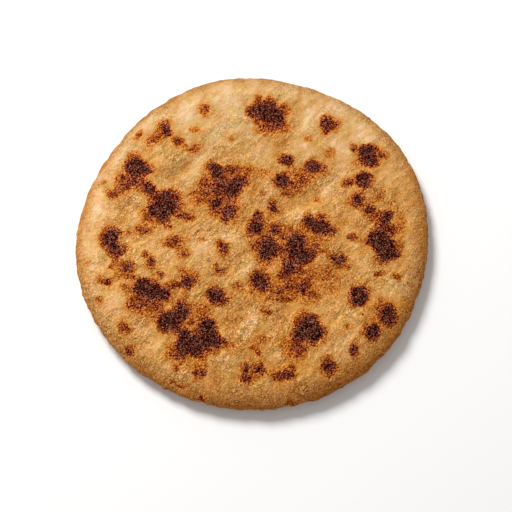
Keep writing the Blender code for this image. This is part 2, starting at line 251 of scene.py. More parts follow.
# Pale, floury swells of the crust, and how pale they are.
PALE = as_marks(
    (0, -40, 6, 5, 0.35), (-60, -10, 4, 6, 0.35), (-42, -69, 14, 4, 0.35, -30), (-34, 64, 6, 13, 1),
    (-56, 62, 16, 6, 0.6, 40), (-69, 45, 9, 8, 0.8, 60), (-77, 31, 9, 6, 0.75, 70),
    (-79, 15, 7, 12, 0.85), (-84, 0, 6, 12, 0.8), (-81, -14, 6, 10, 0.7, 10),
    (-70, -34, 9, 7, 0.6, -60), (-80, -28, 9, 4, 0.55, 109), (-73, -45, 8, 4, 0.6, 121),
    (-54, -52, 13, 5, 0.5, -48), (-38, -69, 7, 4, 0.5, -20), (-16, 77, 9, 8, 0.75),
    (-10, 62, 6, 9, 0.65, -30), (-25, 42, 24, 5, 0.65, 62), (6, 82, 24, 6, 0.6),
    (14, 76, 14, 3.5, 0.45), (-4, 56, 5, 6, 0.5), (2, 48, 8, 5, 0.35), (-43, 65, 5, 4, 0.4),
    (-26, 62, 5, 5, 0.4), (-40, 45, 5, 5, 0.5), (44, 71, 18, 7, 0.6, -35), (-45, 42, 6, 6, 0.4),
    (28, 62, 10, 5, 0.8, 72), (24, 45, 8, 5, 0.45, 20), (57, 55, 11, 8, 0.9), (44, 47, 7, 6, 0.65),
    (38, 65, 8, 4, 0.4), (46, 35, 9, 5, 0.65, 80), (38, 25, 11, 5, 0.75, 58),
    (7, 19, 6, 4, 0.6, 68), (58, 18, 4, 4, 0.45), (22, 10, 12, 5, 0.72, 15), (0, 42, 9, 5, 0.4),
    (-28, -7, 8, 8, 0.7), (-22, 4, 8, 5, 0.3), (-21, -5, 4, 4, 0.4), (-11, -2, 9, 5, 0.45, -40),
    (-4, -18, 11, 5, 0.7, 38), (-13, -25, 5, 3, 0.35), (-48, -12, 14, 7, 0.65, -20),
    (-58, -9, 6, 5, 0.45), (-68, -14, 8, 6, 0.35), (-57, -20, 5, 3, 0.35), (-61, 12, 5, 9, 0.35),
    (-28, -33, 6, 5, 0.25), (-1, -47, 12, 3.5, 0.75, 65), (-5, -53, 5, 4, 0.45),
    (-9, -65, 6, 4, 0.4), (-17, -61, 6, 3, 0.4), (19, -44, 11, 4, 0.35, 55), (-12, -66, 7, 6, 0.35),
    (12, -61, 5, 4, 0.5), (6, -73, 4, 4, 0.45), (-46, -57, 6, 5, 0.45), (-24, -64, 7, 3, 0.35),
    (46, -44, 10, 7, 0.6), (34, -63, 7, 5, 0.5), (46, -55, 14, 6, 0.6, 50), (71, -25, 9, 8, 0.75),
    (80, -8, 5, 9, 0.45), (55, -16, 5, 7, 0.35, 30), (68, 33, 6, 9, 0.3), (79, 5, 4, 18, 0.25),
    (47, -4, 12, 5, 0.25),
)
SWELL_HEIGHT = 0.35

# Darker patches between the swells, partly tanned dough and partly painted shade in hollows,
# and how dark they are.
TANNED_AND_SHADED = as_marks(
    (-76, 43, 14, 3, 0.8, 60), (-58, 66, 14, 3, 0.8, 41), (0, 81, 20, 3, 0.4), (0, 25, 4, 6, 0.9),
    (3, 31, 6, 4, 0.8), (-26, 49, 5, 6, 0.6), (-13, 62, 5, 4, 0.6), (14, 50, 5, 5, 0.6),
    (14, 44, 4, 3, 0.4), (31, 47, 5, 3, 0.4), (-18, 77, 6, 3, 0.5), (-6, 8, 4, 5, 0.6),
    (-12, 18, 5, 5, 0.4), (45, 5, 6, 4, 0.45), (42, -4, 9, 4, 0.6), (56, -6, 5, 6, 0.5),
    (41, -26, 6, 10, 0.65), (50, -20, 5, 4, 0.4), (31, -35, 5, 4, 0.6), (-13, -46, 5, 6, 0.6),
    (-5, -43, 3, 5, 0.5, -20), (3, -53, 4, 6, 0.4), (-19, -74, 6, 4, 0.8),
    (-37, -76, 7, 3, 0.7, -14), (-28, -80, 9, 3, 0.5, -15), (20, -77, 8, 4, 0.5),
    (42, -74, 10, 4, 0.4, 35), (66, 33, 4, 5, 0.4), (80, 17, 4, 6, 0.5), (-62, 22, 6, 3, 0.4),
    (-62, -41, 5, 4, 0.6), (-60, -53, 4, 3, 0.4),
)
TAN_SHARE = 0.6  # of how pale the crust is, that a darker patch takes away

# Places beside the marks with a honey glow, and how deep it is.
HONEY = as_marks(
    (45, -45, 10, 4, 0.8, 30), (72, -36, 6, 5, 1), (59, -43, 7, 6, 0.55), (20, -59, 5, 5, 0.6),
    (15, -54, 5, 6, 0.5), (76, 2, 4, 10, 0.35), (-10, 64, 4, 5, 0.4), (-38, 46, 7, 5, 0.35),
    (-60, 12, 6, 6, 0.3), (22, -70, 12, 5, 0.45, 10), (20, -44, 4, 5, 0.3), (30, -66, 10, 5, 0.25),
    (-8, -58, 8, 4, 0.4), (-27, -63, 8, 4, 0.7), (-44, -60, 9, 5, 0.35), (-60, -12, 6, 10, 0.4),
    (-62, -5, 9, 6, 0.25), (24, -27, 9, 5, 0.4, 20), (2, -31, 8, 4, 0.3, 20), (-30, 59, 7, 8, 0.3),
    (-12, 52, 8, 5, 0.3, 30), (-38, 12, 5, 5, 0.3), (5, -72, 12, 4, 0.3),
    (-68, -48, 5, 8, 0.25, 20), (30, 14, 8, 4, 0.25), (-51, -15, 8, 5, 0.5, -20),
    (-48, 42, 9, 5, 0.5, 20), (-2, -14, 4, 8, 0.25), (60, 56, 6, 5, 0.3), (72, -18, 6, 7, 0.35),
)

# Places where the dough is a duller cream, and how strong that is.
CREAMY = as_marks(
    (-85, 4, 5, 18, 0.5), (-80, 28, 5, 12, 0.5, -20), (-62, 42, 4, 5, 0.9), (-76, -1, 3, 4, 0.9),
    (42, -29, 7, 3, 0.9), (46, 54, 5, 8, 0.4), (-22, -13, 8, 5, 0.4), (-48, -80, 14, 4, 0.5, -30),
)
CREAMY_DULLNESS = 0.6

# Where the crust is crumpled and grainy, where it is stretched smooth, and how much so.
ROUGH = as_marks(
    (-63, 15, 9, 6, 0.9, 30), (-41, 42, 7, 5, 0.8, 30), (-60, -12, 9, 7, 0.9, -30),
    (-14, 56, 9, 6, 0.45, 30), (5, 22, 6, 5, 0.8, 60), (2, 30, 6, 4, 0.5), (-20, 2, 12, 6, 0.5, 30),
    (-18, -14, 8, 6, 0.7), (-6, -15, 8, 5, 0.7, 40), (-5, -45, 13, 8, 1, 80), (12, -46, 7, 6, 0.8),
    (8, -36, 8, 4, 0.7), (20, 5, 6, 4, 0.7), (40, -14, 9, 6, 0.6), (46, -45, 9, 6, 0.6, 50),
    (62, 22, 6, 5, 0.8), (55, 8, 7, 5, 0.5), (38, 28, 7, 5, 0.5, 60), (-30, -32, 8, 5, 0.7),
    (-15, -62, 8, 4, 0.6), (68, -22, 8, 6, 0.5), (-56, -52, 9, 4, 0.5, -45),
)
SMOOTH = as_marks(
    (-35, 65, 7, 12, 1), (-20, 78, 10, 6, 0.9, 20), (3, 80, 14, 5, 0.9), (30, 70, 12, 6, 0.8, 60),
    (-12, 66, 5, 7, 0.6), (-80, 15, 8, 14, 0.9), (-82, -8, 7, 12, 0.9), (-74, 35, 8, 8, 0.5),
    (50, 62, 12, 6, 0.7, -45), (45, 45, 6, 8, 0.7), (55, 54, 7, 5, 0.7), (25, 45, 8, 5, 0.6),
    (-28, -7, 7, 7, 0.4), (-70, -32, 7, 9, 0.6), (66, 33, 6, 9, 0.6), (80, 0, 5, 20, 0.5),
)

# How rough the crust is, from 0 to 1. It gets rougher towards the front, and so does the rim,
# over these ranges along Y.
PLAIN_ROUGH = 0.3
LEAST_ROUGH = 0.05
ROUGH_WAVE = Layer(0.5, 13, 9, 66.1)
PATCH_ROUGH = 0.75
PATCH_SMOOTH = 0.6
FRONT_ROUGH = 0.25
FRONT_RANGE = (60, -10)
RIM_ROUGH = 0.3
RIM_RANGE = (20, -30)

# Small pits and dents, darker than the crust round them, partly in their own colour and partly
# in painted shade, and how dark they are.
DENTS = as_marks(
    (-59.7, 54.7, 2.8, 1, 1, 50), (-27.3, 80.8, 3, 1, 0.8, 25), (-20.7, 75.3, 3.4, 1, 0.5, 45),
    (-40.5, 66.5, 1.8, 0.9, 0.5, 40), (-77.5, 28.5, 3.4, 1.2, 0.9, 55),
    (-39.5, 33, 8, 3.4, 0.6, 30), (-46.3, 43.3, 2.6, 1.2, 0.5, 20), (24, 63, 2.2, 1, 0.4, 60),
    (80, -1.7, 2.8, 1, 0.7, 80), (77.7, 7, 2, 1, 0.6, 80), (-6.7, -38, 3, 2, 0.6, 20),
    (9.3, -41.5, 2.5, 1.6, 0.6, -20), (-17.3, -72.3, 3, 1.4, 0.7, 15),
    (-12.7, -77.7, 3.6, 0.8, 0.6, 10), (71.3, 17, 1.8, 1, 0.6), (73, -33.7, 1.8, 1.2, 0.7),
    (49.7, -1.4, 1.4, 1.1, 0.9), (-66, 16, 5, 3, 0.5, 30), (-22, 5, 5, 2.6, 0.4, 35),
    (-83.5, -13.5, 1.4, 1.2, 0.5), (-77.3, -34, 1.6, 1.2, 0.9, -50), (-36, -76.8, 4.6, 1, 0.8, -14),
    (-60.3, -59, 3, 1, 0.9, -38), (-24.7, -83, 1.6, 1, 1, -20), (18, -84.7, 3.4, 0.9, 0.8, 10),
    (83, -18, 2.8, 0.9, 0.9, 95), (81, -26, 2.6, 0.9, 0.6, 100),
)
DENT_DEPTH = 0.45

# Pores: smaller dents, scattered over the crust.
PORES = 1500
PORE_SEED = 4
PORE_SPREAD = 0.97  # of the radius
PORE_RADII = (0.5, 1.1)
PORE_DEPTHS = (0.1, 0.3)
PORE_STRETCHES = (1, 2.2)  # how much longer than wide they are
PORE_REACH = 3  # how many times its length away a pore still counts
PORE_SHADE = 0.5  # how dark the painted shade in the deepest pore is

# The rim turns orange-brown most towards the turn below, on the near side, which faces away
# from the light: partly browning, partly painted shade. It stays dull on the far side.
AMBER_SHADE_TURN = math.radians(292)
AMBER_FALL = 1.4  # higher keeps the browning and painted shade closer to the near side
AMBER_SHARE = 0.872  # of the radius, where the browning and painted shade start
AMBER_WIDENING = 0.06  # how much further in it starts on the near side
LEAST_AMBER = 0.04
DULL_SHARE = (0.92, 0.985)  # of the radius, between which the dull edge comes in
BACK_EDGE_TAN = 0.6

# The crust is creamier towards the back edge, and golden from the middle to the front.
CREAM_PLACE = 88
GOLDEN_PLACE = -10
GOLDEN_LEAN = 0.15  # how much a step to the left counts as a step back

# Where relief comes in: up the rim from the underside, and then over the widest line, where it
# turns from outwards to upwards.
FOOT_HEIGHT = 2
TURN_HEIGHT = 4

# The underside, which lay on the griddle first, has marks of its own and shallow pits.
UNDER_MARKS = 46
UNDER_SEED = 12
UNDER_SPREAD = 0.86  # of the radius
UNDER_LENGTHS = (1.2, 6.4)
UNDER_WIDTHS = (0.6, 1)  # as shares of the length
UNDER_STRENGTHS = (0.45, 1)
UNDER_PITS = Layer(0.35, 7, 5, 91.7)
UNPITTED_SHARE = (0.85, 1)  # of the radius, between which the pits die away
UNDER_PALE = 0.3
UNDER_AMBER = 0.6

# The mesh: cells across the crust and the underside, and rows up the rim.
CRUST_CELLS = 256
UNDER_CELLS = 128
RIM_ROWS = 12

# The map's round islands, the crust's with the rim and the underside's: middle and radius.
CRUST_ISLAND = (0.42, 0.42, 0.415)
UNDER_ISLAND = (0.83, 0.83, 0.16)

# The camera looks at the bread as in the photograph.
CAMERA_ELEVATION = math.radians(74.5)
CAMERA_LENS = 85
CAMERA_DISTANCE = 614.9
CAMERA_AIM = (1.86, -9.43, 6)
CAMERA_NEAR = 10


# ---- form


def smooth_step(low, high, value):
    share = np.clip((value - low) / (high - low), 0, 1)
    return share * share * (3 - 2 * share)


def waves(layer, along, across, third=0.0):
    """A layer of smooth random waves, one value for each point."""
    third = np.broadcast_to(third, np.shape(along))
    places = zip(
        (along / layer.length).tolist(),
        (across / layer.width).tolist(),
        (third + layer.seed).tolist(),
    )
    return layer.height * np.array([noise.noise(place) for place in places])


def rim_waves(layer, angle, height):
    """A layer of waves that runs round the rim and up it."""
    x = MEAN_RADIUS * np.cos(angle)
    y = MEAN_RADIUS * np.sin(angle)
    return waves(layer, x, y, height / layer.width)


def outline_radius(angle):
    lobes = sum(
        lobe.height * np.cos(lobe.count * (angle - math.radians(lobe.turn))) for lobe in OUTLINE
    )
    return MEAN_RADIUS + lobes


def crust_height(share):
    return WIDEST_HEIGHT + DOME_HEIGHT * np.sqrt(np.maximum(0, 1 - share**DOME_FLATNESS))


def turned(x, y, turn):
    """Places along and across a turn."""
    along = x * math.cos(turn) + y * math.sin(turn)
    across = y * math.cos(turn) - x * math.sin(turn)
    return along, across


def patted(x, y):
    """Places along and across the way the dough was patted."""
    return turned(x, y, PATTED_TURN)


def depth_in(hollow, x, y):
    """How deep a finger hollow is at each point."""
    start = np.array(hollow.start, float)
    run = np.array(hollow.end, float) - start
    along = np.clip(((x - start[0]) * run[0] + (y - start[1]) * run[1]) / (run @ run), 0, 1)
    distance = np.hypot(x - start[0] - run[0] * along, y - start[1] - run[1] * along)
    return hollow.depth * np.exp(-((distance / hollow.width) ** 2))


def solid_relief(x, y):
    """The relief that the solid has: slow waves and finger hollows."""
    along, across = patted(x, y)
    pressed = sum(depth_in(hollow, x, y) for hollow in HOLLOWS)
    return waves(SLOW, along, across) + waves(QUICK, along, across) - pressed


# ---- marks


def from_middle(mark, x, y):
    """How far each point is from a mark's middle, in millimetres and in sizes of the mark."""
    along, across = turned(x - mark.x, y - mark.y, math.radians(mark.turn))
    return np.hypot(along, across), np.hypot(along / mark.long, across / mark.wide)


def depth_inside(mark, x, y):
    """How far inside a mark's edge each point is, negative outside it."""
    away, sizes_away = from_middle(mark, x, y)
    outside = away * (1 / np.maximum(sizes_away, 1) - 1)
    return np.where(sizes_away > 1, outside, (1 - sizes_away) * mark.wide)


def scorch(marks, x, y):
    """How burnt the marks make each point."""
    rags = sum(waves(layer, x, y) for layer in EDGE_RAGS)
    fade = FADE * np.maximum(LEAST_FADE, 1 + waves(FADE_WAVE, x, y))
    deepest = np.zeros_like(x)
    unburnt = np.ones_like(x)
    for mark in marks:
        depth = depth_inside(mark, x, y) + rags
        heat = mark.strength * np.exp(np.minimum(0, depth - FULL_DEPTH) / fade)
        deepest = np.maximum(deepest, heat)
        unburnt *= 1 - HALO_SHARE * heat
    return np.maximum(deepest, 1 - unburnt)


def patched(patches, x, y):
    """How much the patches cover each point: each is a bell curve, and they overlap softly."""
    bare = np.ones_like(x)
    for patch in patches:
        _, sizes_away = from_middle(patch, x, y)
        bare *= 1 - patch.strength * np.exp(-PATCH_FALL * sizes_away**2)
    return 1 - bare


def place_at_random(draw, spread):
    """A random place on a disc that covers this share of the radius."""
    angle = draw.uniform(0, 2 * math.pi)
    away = MEAN_RADIUS * spread * math.sqrt(draw.random())
    return away * math.cos(angle), away * math.sin(angle)


def pores(x, y):
    """How deep the pores are at each point."""
    draw = random.Random(PORE_SEED)
    depth = np.zeros_like(x)
    for _ in range(PORES):
        middle_x, middle_y = place_at_random(draw, PORE_SPREAD)
        radius = draw.uniform(*PORE_RADII)
        deepest = draw.uniform(*PORE_DEPTHS)
        long = radius * draw.uniform(*PORE_STRETCHES)
        beside = x - middle_x
        beyond = y - middle_y
        near = np.maximum(np.abs(beside), np.abs(beyond)) < PORE_REACH * long
        along, across = patted(beside[near], beyond[near])
        dent = deepest * np.exp(-((along / long) ** 2) - (across / radius) ** 2)
        depth[near] = np.maximum(depth[near], dent)
    return depth


def scattered_marks():
    """Marks for the underside, large and small, drawn at random."""
    draw = random.Random(UNDER_SEED)
    smallest, largest = UNDER_LENGTHS
    marks = []
    for _ in range(UNDER_MARKS):
        place = place_at_random(draw, UNDER_SPREAD)
        long = smallest + (largest - smallest) * draw.random() ** 2
        wide = long * draw.uniform(*UNDER_WIDTHS)
        turn = draw.uniform(0, 180)
        strength = draw.uniform(*UNDER_STRENGTHS)
        marks.append(Mark(*place, long, wide, strength, turn))
    return marks


# ---- mesh


def sheet(cells):
    """The corners of a square sheet from -1 to 1, their numbers in a grid, and its faces."""
    steps = np.linspace(-1, 1, cells + 1)
    u, v = np.meshgrid(steps, steps, indexing="ij")
    index = np.arange(u.size).reshape(u.shape)
    around = (index[:-1, :-1], index[1:, :-1], index[1:, 1:], index[:-1, 1:])
    return u.ravel(), v.ravel(), index, np.stack(around, -1).reshape(-1, 4)


def border(index):
    """The corners round a sheet's edge, anticlockwise from its lower left."""
    return np.concatenate((index[:-1, 0], index[-1, :-1], index[:0:-1, -1], index[0, :0:-1]))


def disc_place(u, v):
    """Points of the square, as angles and shares of the radius on a disc."""
    lying = np.abs(u) >= np.abs(v)
    quarter = math.pi / 4
    beside = quarter * v / np.where(u == 0, 1, u) + np.where(u < 0, math.pi, 0)
    above = math.pi / 2 - quarter * u / np.where(v == 0, 1, v) + np.where(v < 0, math.pi, 0)
    return np.where(lying, beside, above), np.maximum(np.abs(u), np.abs(v))


def rim_row(row):
    """The share of the radius and the height of a row of the rim, from 0 at its top."""
    w = 1 - 2 * row / RIM_ROWS
    if w < 0:
        turn = w * math.pi / 2
        share = UNDERSIDE_SHARE + (1 - UNDERSIDE_SHARE) * math.cos(turn)
        return share, WIDEST_HEIGHT * (1 + math.sin(turn))
    share = math.cos(w * SHOULDER_TURN) ** (2 / DOME_FLATNESS)
    return share, crust_height(share)


def bread_corners():
    """Every corner before relief: its angle, share of the radius and height.

    With them come the faces, of the crust, of the underside and of the ring that joins the two,
    and the number of the underside's first corner.
    """
    u, v, top, top_faces = sheet(CRUST_CELLS)
    angle, ring = disc_place(u, v)
    share = ring * rim_row(0)[0]
    corners_so_far = [(angle, share, crust_height(share))]
    crust_faces = [top_faces]
    edge = border(top)
    upper = edge
    count = u.size
    for row in range(1, RIM_ROWS + 1):
        share, height = rim_row(row)
        level = np.ones(edge.size)
        corners_so_far.append((angle[edge], share * level, height * level))
        lower = count + np.arange(edge.size)
        crust_faces.append(np.stack((lower, np.roll(lower, -1), np.roll(upper, -1), upper), -1))
        upper = lower
        count += edge.size
    u, v, under, under_faces = sheet(UNDER_CELLS)
    angle, ring = disc_place(u, v)
    share = ring * UNDERSIDE_SHARE * (1 - 1 / UNDER_CELLS)
    corners_so_far.append((angle, share, np.zeros(u.size)))
    inner = border(under) + count
    joining = np.stack(
        (inner, np.roll(inner, -1), np.roll(lower, -2)[::2], lower[1::2], lower[::2]), -1
    )
    faces = (np.concatenate(crust_faces), (under_faces + count)[:, ::-1], joining)
    angle, share, height = (np.concatenate(values) for values in zip(*corners_so_far))
    return angle, share, height, faces, count


def crease_share(along, across, round_rim, down_rim, folded):
    """How much each point lies in a crease, from 0 to 1."""
    creases = waves(CREASES, along, across) / CREASE_WIDTH
    rim_creases = waves(RIM_CREASES, round_rim, down_rim) / CREASE_WIDTH
    creased = np.exp(-(creases**2)) * (1 - folded) + np.exp(-(rim_creases**2)) * folded
    return creased * smooth_step(*CREASE_BREAK, waves(CREASE_BREAKS, along, across))


def roughness(x, y, folded):
    """How rough the crust is at each point, from 0 to 1."""
    rough = PLAIN_ROUGH + FRONT_ROUGH * smooth_step(*FRONT_RANGE, y)
    rough += waves(ROUGH_WAVE, *patted(x, y))
    rough += PATCH_ROUGH * patched(ROUGH, x, y) - PATCH_SMOOTH * patched(SMOOTH, x, y)
    rough += RIM_ROUGH * folded * smooth_step(*RIM_RANGE, y)
    return np.clip(rough, LEAST_ROUGH, 1)


def shape_crust(angle, share, height, under_from):
    """Moves every corner to its place, and says how scorched, pale, pitted and so on it is."""
    calm = smooth_step(CALM_SHARE, 1, share)
    radius = outline_radius(angle) * share
    radius += np.where(height > 0, rim_waves(RIM_WAVE, angle, height) * calm, 0)
    x = radius * np.cos(angle)
    y = radius * np.sin(angle)
    relief = solid_relief(x, y) * (1 - calm)

    # Scorching, and the patches that go with it.
    heat = scorch(CRUST_MARKS, x, y)
    heat = np.minimum(1, np.hypot(heat, TOAST_SHARE * patched(TOASTED, x, y)))
    heat *= smooth_step(*UNSCORCHED_RIM, height)
    char = smooth_step(*CHARRED, heat)
    pale = patched(PALE, x, y) - TAN_SHARE * patched(TANNED_AND_SHADED, x, y)

    # Fine relief, which the solid doesn't have.
    along, across = patted(x, y)
    round_rim = angle * MEAN_RADIUS
    down_rim = radius + RIM_CLIMB * height
    folded = smooth_step(*FOLDED_SHARE, share)
    creased = crease_share(along, across, round_rim, down_rim, folded)
    rough = roughness(x, y, folded)
    fine = waves(LUMPS, along, across) + waves(GRAIN, along, across)
    fine += waves(WRINKLES, along, across) * (1 - folded)
    fine -= CREASE_DEPTH * creased
    fine += waves(CRUMPLES, along, across) * rough * (1 - char)
    rags = rim_waves(RIM_RAGS, angle, height)
    folds = waves(RIM_FOLDS, round_rim, down_rim) * folded
    dented = patched(DENTS, x, y)
    dents = pores(x, y) + DENT_DEPTH * dented
    top = smooth_step(WIDEST_HEIGHT, WIDEST_HEIGHT + TURN_HEIGHT, height)
    foot = smooth_step(0, FOOT_HEIGHT, height)
    z = height + np.where(height > WIDEST_HEIGHT, relief, 0)
    z += top * (fine + folds + SWELL_HEIGHT * pale + BLISTER_HEIGHT * char - dents * (1 - char))
    outward = (1 - top) * foot * (fine + folds) + foot * calm * rags
    x += outward * np.cos(angle)
    y += outward * np.sin(angle)

    # The rim's colours: orange-brown most on the near side, which faces away from the light,
    # partly browning and partly painted shade; dull on the far side.
    facing = (0.5 + 0.5 * np.cos(angle - AMBER_SHADE_TURN)) ** AMBER_FALL
    amber_and_shade = smooth_step(AMBER_SHARE - AMBER_WIDENING * facing, 1, share)
    amber_and_shade *= LEAST_AMBER + (1 - LEAST_AMBER) * facing
    dull = smooth_step(*DULL_SHARE, share) * (1 - facing)

    # The underside stays flat, with shallow pits that reach up into the bread.
    below = slice(under_from, None)
    pits = np.maximum(0, waves(UNDER_PITS, x[below], y[below]))
    z[below] = pits * (1 - smooth_step(*UNPITTED_SHARE, share[below]))
    heat[below] = scorch(scattered_marks(), x[below], y[below])
    pale[below] = UNDER_PALE
    # The underside's pits get painted shade too.
    dented[below] = pits
    creased[below] = 0
    amber_and_shade[below] = UNDER_AMBER
    dull[below] = 0

    return np.stack((x, y, z), -1), {
        "scorched": heat,
        "pale": pale - BACK_EDGE_TAN * dull,
        # Painted shade in the pores and dents, and the dents' own dark colour.
        "pitted": np.maximum(dented, dents / PORE_DEPTHS[1] * PORE_SHADE),
        # Painted shade: the dough darkens in hollows and in creases.
        "hollow": np.maximum(np.clip(-relief, 0, 1), CREASE_SHADE * creased),
        # Orange-brown: browning on the underside; on the rim's near side, browning and painted
        # shade.
        "amber_and_shade": amber_and_shade,
        "golden": smooth_step(CREAM_PLACE, GOLDEN_PLACE, y - GOLDEN_LEAN * x),
        "honey": patched(HONEY, x, y),
        "dull": np.maximum(dull, CREAMY_DULLNESS * patched(CREAMY, x, y)),
        "rough": rough,
    }


def centred_on(places, low, high):
    """Slides the corners so that their middle, seen from above, is that of the CAD node's box."""
    for axis in (0, 1):
        middle = (places[:, axis].min() + places[:, axis].max()) / 2
        places[:, axis] += (low[axis] + high[axis]) / 2 / MM - middle
    return places


def island_places(island, angle, reach):
    """Places on the map: a disc with evenly spaced rings."""
    centre_u, centre_v, radius = island
    spread = radius * reach
    return np.stack((centre_u + spread * np.cos(angle), centre_v + spread * np.sin(angle)), -1)


def add_map(data, angle, share, height, crust_corner_count):
    """Lays the crust with its rim, and the underside, out flat as two discs."""
    # The crust's disc is as wide as the way over the shoulder and down the rim.
    reach = MEAN_RADIUS * share + np.maximum(0, THICKNESS - height)
    tucked_in = MEAN_RADIUS * (2 - share) + THICKNESS - height
    reach = np.where(height < WIDEST_HEIGHT, tucked_in, reach)
    loops = np.empty(len(data.loops), np.int32)
    data.loops.foreach_get("vertex_index", loops)
    widest = reach[loops[:crust_corner_count]].max()
    on_crust = island_places(CRUST_ISLAND, angle, reach / widest)
    on_under = island_places(UNDER_ISLAND, angle, share / UNDERSIDE_SHARE)
    places = on_under[loops]
    places[:crust_corner_count] = on_crust[loops[:crust_corner_count]]
    layer = data.uv_layers.new(name="OFBake")
    layer.uv.foreach_set("vector", places.astype(np.float32).ravel())


def new_object(name, data):
    made = bpy.data.objects.new(name, data)
    bpy.context.scene.collection.objects.link(made)
    return made


def build_crust(low, high):
    """The crust as one mesh, with its map, and its tints as attributes for the material."""
    angle, share, height, faces, under_from = bread_corners()
    places, tints = shape_crust(angle, share, height, under_from)
    places = centred_on(places, low, high)
    data = bpy.data.meshes.new("rotla_crust")
    data.from_pydata((places * MM).tolist(), [], [face for part in faces for face in part.tolist()])
    add_map(data, angle, share, height, faces[0].size)
    for name, values in tints.items():
        attribute = data.attributes.new(name, "FLOAT", "POINT")
        attribute.data.foreach_set("value", values.astype(np.float32))
    data.shade_smooth()
    return new_object("rotla_crust", data)


# ---- material


LIGHT_ON_BREAD = 1.12  # what the lights make of a white surface that lies level


def linear(*colour):
    """A colour given as it looks on a screen, from 0 to 255, as linear light."""
    shares = [c / 255 for c in colour]
    return tuple(s / 12.92 if s < 0.04045 else ((s + 0.055) / 1.055) ** 2.4 for s in shares) + (1,)


def baked(*colour):
    """The surface colour that looks like this on a screen, once the light is on it."""
    return tuple(c / LIGHT_ON_BREAD for c in linear(*colour)[:3]) + (1,)


# Tones: where each lies, from 0 to 1, and its colour on a screen. The dough's run from hollows
# darkened by painted shade to floury swells, and the burnt ones from golden to charred.
DOUGH_TONES = (
    (0, 174, 113, 48), (0.25, 197, 141, 72), (0.5, 213, 166, 100), (0.75, 226, 187, 132),
    (1, 236, 207, 164),
)
BURNT_TONES = (
    (0.1, 215, 151, 76), (0.2, 207, 130, 54), (0.32, 189, 106, 35), (0.46, 163, 78, 22),
    (0.6, 138, 52, 11), (0.75, 117, 36, 6), (0.9, 93, 21, 2), (1, 74, 12, 0),
)
SCREEN_GAMMA = 2.2
# The olive of the painted shade in cracks and pits.
OLIVE_SHADE = baked(146, 96, 38)
AMBER = baked(174, 100, 34)
# Tints that multiply the dough's colour.
CREAM_TINT = (0.935, 0.965, 1.1, 1)
GOLDEN_TINT = (1.07, 0.952, 0.865, 1)
HONEY_TINT = (1.07, 0.93, 0.42, 1)
DULL_TINT = (0.92, 0.98, 1.26, 1)
ROSY_TINT = (1.05, 0.97, 0.97, 1)
HAY_TINT = (0.99, 0.99, 0.85, 1)

# What adds to the dough's tone, which runs from 0, in hollows darkened by painted shade, to 1,
# on floury swells.
PLAIN_TONE = 0.425
PALE_TONE = 0.55
BROAD_TONE = 0.5
MOTTLE_TONE = 0.8
FIBRE_TONE = 0.15
KNOB_TONE = 0.3
# Painted shade in hollows and creases darkens the tone.
HOLLOW_SHADE = -0.15

# How strong the cracks are where the crust is smooth, and what rough crust adds.
SMOOTH_CRACKS = 0.2
ROUGH_CRACKS = 0.7
CRACK_OLIVE = 0.3  # how much olive painted shade a full crack gets

# How far the crust turns to AMBER, and what the rim and the mottling add. The rim's share is
# partly browning and partly painted shade on its near side.
PLAIN_AMBER = -0.25
RIM_AMBER_AND_SHADE = 0.76
MOTTLE_AMBER = 0.5

# How far stippling and clumps scatter the burnt tones at a mark's edge.
STIPPLE_SCATTER = 0.08
CLUMP_SCATTER = 0.3

# How strong the grains of flour are to the eye, and what rough, scorched and pale crust adds.
PLAIN_GRAIN = 0.1
ROUGH_GRAIN = 0.2
SCORCHED_GRAIN = 0.58
PALE_GRAIN = -0.03
ASH_SHADE = -0.055  # how much darker a grain of ash is than one of flour

# Heights of the finest relief.
FIBRE_HEIGHT = 0.06
KNOB_HEIGHT = 0.34
FLOUR_HEIGHT = 0.04
STIPPLE_HEIGHT = 0.12
CRACK_HEIGHT = -0.2

# Steps: the value where each starts, the value where it ends, and then what it gives at its
# start and at its end, where these aren't 0 and 1.
KNOB_STEP = (0.4, 0.6)
STREWN_STEP = (0.36, 0.64, 0.6, 1.35)
HUE_STEP = (0.35, 0.65)
CRACK_STEP = (0.015, 0.06, 1, 0)
GAP_STEP = (0.48, 0.56)
PIT_STEP = (0.15, 1, 0, 0.8)
SCATTER_STEP = (0.02, 0.45)
CORE_STEP = (0.8, 1, 1, 0.25)
BURNT_STEP = (0.03, 0.24)
GRAIN_STEP = (0.08, 0.5)
ASH_STEP = (0.2, 0.6)
DOT_STEP = (0.5, 0.75, 0, -0.44)
DOTTED_STEP = (0.06, 0.4)
DOTTED_CORE_STEP = (0.5, 0.9, 1, 0.3)
ROUGHNESS_STEP = (0.3, 1, 0.8, 0.68)
SPECULAR = 0.02

# A mix node's colour sockets, by number, as several sockets there share each name.
FIRST_COLOUR = 6
SECOND_COLOUR = 7
MIXED_COLOUR = 2


